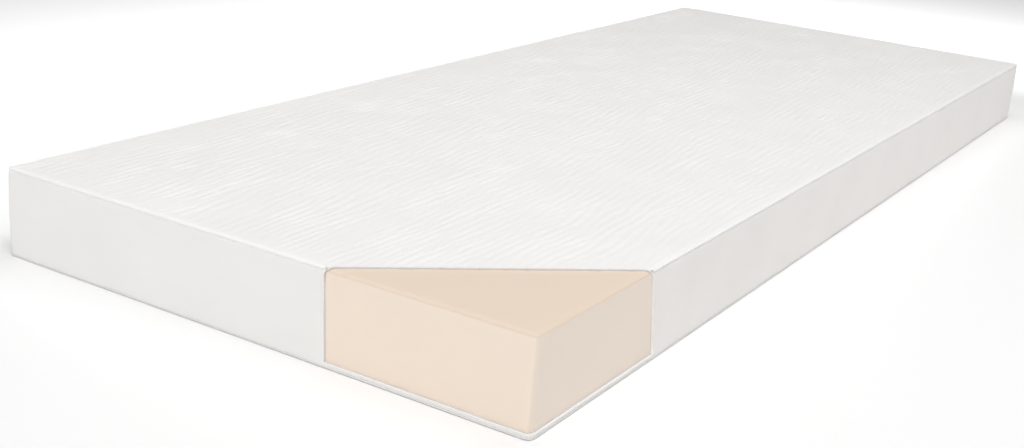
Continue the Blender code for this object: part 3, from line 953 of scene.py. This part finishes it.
def build_piping():
    path = resample(piping_path(), 0.004)
    rng = np.random.default_rng(41)
    swell = line_noise(rng, 0, 6.0, 0.028)
    wander = line_noise(rng, 0, 6.0, 0.060)
    run = running_length(path)
    path[:, 2] += wander(run) * 0.00008

    def outer_radius(distance, angle):
        return PIPE_R * (1 + 0.025 * swell(distance + np.zeros_like(angle)))

    def inner_radius(distance, angle):
        return PIPE_R - PIPE_WALL + 0 * distance * angle

    rings = [mitre(swept_rings(path, size, 14), path) for size in (outer_radius, inner_radius)]
    piping = tube("piping_fabric", *rings, "piping")
    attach(piping, "mattress")
    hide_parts("piping_cover")

    def strands(distance, angle):
        return CORD_R * (0.93 + 0.07 * np.cos(3 * angle)) + 0 * distance

    fine = resample(piping_path(), 0.0025)
    twisted = mitre(swept_rings(fine, strands, 12, twist=math.tau / 0.012), fine)
    filler = tube("piping_filler", twisted, None, "cord")
    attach(filler, "mattress")
    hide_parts("piping_cord")


STITCH_SINK = 0.3  # share of a thread's radius that the fabric swallows
THREAD_SHORT = 0.002  # from the window to the end of the seam thread


def stitch_row(bm, points, normals, pitch, length, radius):
    """A row of short thread bumps along a path of points with outward normals."""
    run = running_length(points)

    def at(values, distance):
        return Vector([np.interp(distance, run, values[:, k]) for k in range(3)])

    for i in range(int((run[-1] - pitch) / pitch)):
        rings = []
        for t in (-1.0, -0.75, 0.0, 0.75, 1.0):
            s = pitch * (i + 0.75) + t * length / 2
            centre = at(points, s)
            ahead = at(points, s + 1e-4) - centre
            out = at(normals, s).normalized()
            across = ahead.normalized().cross(out)
            centre += out * (radius * (1 - 1.6 * t * t) - STITCH_SINK * radius)
            size = radius * (1.0 if abs(t) < 0.9 else 0.45)
            rings.append(add_ring(bm, centre, out, across, size, 5))
        skin_rings(bm, rings)


def thread_row(bm, points, normals, level, stand, pitch, length, radius=0.00028):
    """A level row of thread that stands a little out of a side's plan."""
    place = np.column_stack([points + normals * stand, np.full(len(points), level)])
    out = np.column_stack([normals, np.zeros(len(normals))])
    stitch_row(bm, place, out, pitch, length, radius)


def build_stitches():
    """Seam thread under the piping on all four sides, and above and below the zip."""
    for side, name in enumerate(("foot", "right", "head", "left")):
        points, normals, _ = side_plan(side, 0.02)
        if side < 2:
            short = (WINDOW_LINES[side] - points[:, side]) * (1, -1)[side]
            points, normals = points[short >= THREAD_SHORT], normals[short >= THREAD_SHORT]
        bm = bmesh.new()
        thread_row(bm, points, normals, BORDER_HIGH - 0.0018, -0.0004, 0.0042, 0.0030)
        if side == 3:
            straight = np.abs(points[:, 1]) < TAPE_END - 0.004
            points, normals = points[straight], normals[straight]
            for level in (SLOT_LOW - 0.0025, SLOT_HIGH + 0.0025):
                thread_row(bm, points, normals, level, 0.0001, 0.0036, 0.0027)
        thread = new_object(f"seam_thread_{name}", bm, "thread")
        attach(thread, "mattress")


# ---------------- the zip

COIL_PITCH = 0.0020
COIL_WIRE_R = 0.00042
SHARP_ANGLE = 0.35  # in radians, between the faces of a metal edge that gets rounded


def build_coil(part, up):
    """One nylon coil: a loop at every pitch, bent out from the tape and over to the middle."""
    low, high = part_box(f"zip_coil_{part}")
    reach = sorted((abs(low.z - ZIP_Z), abs(high.z - ZIP_Z)))
    near, far = ZIP_Z + up * (reach[0] + COIL_WIRE_R), ZIP_Z + up * (reach[1] - COIL_WIRE_R)
    out_x, in_x = low.x + COIL_WIRE_R, high.x - COIL_WIRE_R
    middle_x = (out_x + in_x) / 2
    turn = (
        # X, Z, and how far along the pitch
        (in_x, far, 0.0),
        (in_x, near + up * 0.0005, 0.18),
        (middle_x, near, 0.25),
        (out_x, near + up * 0.0005, 0.32),
        (out_x, far - up * 0.0004, 0.62),
        (middle_x, far, 0.80),
    )
    start = low.y + COIL_WIRE_R + (0.0 if up > 0 else COIL_PITCH / 2)
    path = []
    for i in range(int((high.y - low.y - COIL_PITCH) / COIL_PITCH)):
        y = start + i * COIL_PITCH
        path += [Vector((x, y + share * COIL_PITCH, z)) for x, z, share in turn]
    bm = bmesh.new()
    rings = []
    for i, centre in enumerate(path):
        along = (path[min(i + 1, len(path) - 1)] - path[max(i - 1, 0)]).normalized()
        across = along.cross(Vector((0, 1, 0))).normalized()
        other = along.cross(across).normalized()
        rings.append(add_ring(bm, centre, across, other, COIL_WIRE_R, 6))
    skin_rings(bm, rings)
    coil = new_object(f"zip_coil_{part}_loops", bm, "coil")
    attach(coil, "mattress")
    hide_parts(f"zip_coil_{part}")


def softened(node, body, width):
    """A copy of a small metal node with its sharp edges rounded, in the node's own place."""
    bm = bmesh.new()
    bm.from_mesh(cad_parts[node].data)
    bmesh.ops.remove_doubles(bm, verts=bm.verts, dist=1e-6)
    bmesh.ops.dissolve_limit(
        bm, angle_limit=math.radians(2), verts=bm.verts, edges=bm.edges, delimit={"NORMAL"}
    )
    folds = (edge for edge in bm.edges if len(edge.link_faces) == 2)
    sharp = [edge for edge in folds if edge.calc_face_angle() > SHARP_ANGLE]
    bmesh.ops.bevel(
        bm, geom=sharp, offset=width, segments=2, affect="EDGES", profile=0.5, clamp_overlap=True
    )
    piece = new_object(f"{node}_metal", bm, "metal")
    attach(piece, body)
    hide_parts(node)


def build_tape(part, up):
    """A woven tape, with a corded edge beside its coil and a selvedge at its other edge."""
    low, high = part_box(f"zip_tape_{part}")
    wide, thick = high.z - low.z, high.x - low.x
    across = np.array([0.0, 0.02, 0.05, 0.09, 0.13, 0.17, 0.25, 0.40, 0.60, 0.80, 0.92, 0.97, 1.0])
    along = np.linspace(low.y, high.y, 240)
    y, share = np.meshgrid(along, across, indexing="ij")
    start = low.z if up > 0 else high.z
    z = start + up * wide * share
    bead = 0.00018 * np.exp(-(((share - 0.05) / 0.04) ** 2))
    selvedge = 0.00010 * np.exp(-(((share - 0.97) / 0.03) ** 2))
    rng = np.random.default_rng(51)
    waves = line_noise(rng, low.y, high.y, 0.045)(y) * 0.00008
    body = thick * 0.36
    middle = (low.x + high.x) / 2 + waves
    front = np.stack([middle - body - bead - selvedge, y, z], -1)
    back = np.stack([middle + body + bead + selvedge, y, z], -1)
    tape = thick_sheet(f"zip_tape_{part}_woven", front, back, "tape")
    for face in tape.data.polygons:
        face.material_index = 0
    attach(tape, "mattress")
    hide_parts(f"zip_tape_{part}")


def build_zip():
    build_coil("upper", 1)
    build_coil("lower", -1)
    for node in ("zip_top_stop_upper", "zip_top_stop_lower", "zip_bottom_stop"):
        softened(node, "mattress", 0.00015)
    softened("zip_slider", "slider", 0.00014)
    softened("zip_pull_tab", "pull_tab", 0.00018)
    build_tape("upper", 1)
    build_tape("lower", -1)


# ---------------- the care label

LABEL_SEAM = 0.0035  # from the label's top to its stitches


def build_label():
    """A blank woven strip, hanging from its sewn edge with a slight curl at its free corners."""
    low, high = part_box("care_label")
    width, drop, thick = high.x - low.x, high.z - low.z, high.y - low.y
    across = np.linspace(0, 1, 25)
    down = np.linspace(0, 1, 21)
    u, v = np.meshgrid(across, down, indexing="ij")
    curl = 0.0016 * v**3 * (0.35 + 1.3 * (2 * u - 1) ** 2) + 0.0003 * np.sin(u * 7.0) * v
    x = low.x + width * u
    z = high.z - drop * v * (1 - 0.004 * v)
    grids = [np.stack([x, low.y + depth + curl, z], -1) for depth in (thick * 0.9, thick * 0.1)]
    label = thick_sheet("care_label_satin", *grids, "satin")
    for slot in (1, 2):
        label.data.materials[slot] = LOOKS["satin"].material
    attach(label, "label")
    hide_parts("care_label")

    bm = bmesh.new()
    ends = [(low.x + 0.001, low.y + thick * 0.9), (high.x - 0.001, low.y + thick * 0.9)]
    plan = resample(ends, 0.004)
    outward = np.tile((0.0, 1.0), (len(plan), 1))
    thread_row(bm, plan, outward, high.z - LABEL_SEAM, 0.0, 0.0030, 0.0022, radius=0.00024)
    thread = new_object("care_label_stitches", bm, "thread")
    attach(thread, "label")


# ---------------- floor, light and camera

FLOOR_REACH = 40  # from its middle to each edge
FLOOR_GAP = 0.0002  # under the mattress
WORLD_STRENGTH = 0.20
LAMPS = (
    # name, place, aim, width, height, power in watts
    ("key", (1.76, -2.72, 5.46), (0.1, -0.5, 0.0), 2.5, 2.5, 180.0),
    ("foot_low", (-0.4, -4.5, 1.0), (0.0, -1.0, 0.0), 2.5, 1.5, 28.8),
    ("right_low", (4.5, 0.8, 1.2), (0.4, 0.6, 0.0), 2.5, 1.5, 17.4),
    ("overhead", (0.2, 0.5, 3.6), (0.2, 0.4, 0.0), 3.0, 3.0, 55.0),
    ("behind", (-0.1, 1.4, 0.64), (-0.3, 2.7, 0.12), 3.2, 0.3, 17.0),
    ("beyond_left", (-0.7, 0.3, 0.62), (-1.9, 0.3, 0.12), 2.6, 0.3, 10.0),
)


def build_studio():
    floor_bm = bmesh.new()
    bmesh.ops.create_grid(floor_bm, x_segments=1, y_segments=1, size=FLOOR_REACH)
    mesh = bpy.data.meshes.new("floor")
    floor_bm.to_mesh(mesh)
    floor_bm.free()
    floor = bpy.data.objects.new("floor", mesh)
    floor.location.z = -FLOOR_GAP
    bpy.context.scene.collection.objects.link(floor)
    paint = Nodes("floor_paint", (0.97, 0.97, 0.97), 0.9)
    mesh.materials.append(paint.material)

    world = bpy.data.worlds.new("studio")
    bpy.context.scene.world = world
    world.use_nodes = True
    background = world.node_tree.nodes["Background"]
    background.inputs["Color"].default_value = (1.0, 1.0, 1.0, 1.0)
    background.inputs["Strength"].default_value = WORLD_STRENGTH
    for lamp in LAMPS:
        add_light(*lamp)


def add_light(name, place, aim, width, height, power):
    light = bpy.data.lights.new(name, "AREA")
    light.shape = "RECTANGLE"
    light.size = width
    light.size_y = height
    light.energy = power
    lamp = bpy.data.objects.new(name, light)
    lamp.location = place
    lamp.rotation_euler = (Vector(aim) - Vector(place)).to_track_quat("-Z", "Y").to_euler()
    bpy.context.scene.collection.objects.link(lamp)


CAMERA_EYE = (1.0280, -2.1195, 0.6598)
CAMERA_TARGET = (0.0870, -0.5482, 0.0512)
CAMERA_ROLL_DEG = 4.586
CAMERA_LENS = 49.03


def build_camera():
    eye, target = Vector(CAMERA_EYE), Vector(CAMERA_TARGET)
    level = (target - eye).to_track_quat("-Z", "Y").to_matrix().to_4x4()
    roll = Matrix.Rotation(math.radians(CAMERA_ROLL_DEG), 4, "Z")
    lens = bpy.data.cameras.new("camera")
    lens.lens = CAMERA_LENS
    lens.sensor_width = 36.0
    lens.clip_start = 0.01
    camera = bpy.data.objects.new("camera", lens)
    camera.matrix_world = Matrix.Translation(eye) @ level @ roll
    bpy.context.scene.collection.objects.link(camera)
    bpy.context.scene.camera = camera
    bpy.context.scene.view_settings.view_transform = "Standard"


make_materials()
build_camera()
build_foam()
build_top()
build_borders()
build_end_tabs()
build_bottom()
build_piping()
build_stitches()
build_zip()
build_label()
build_studio()
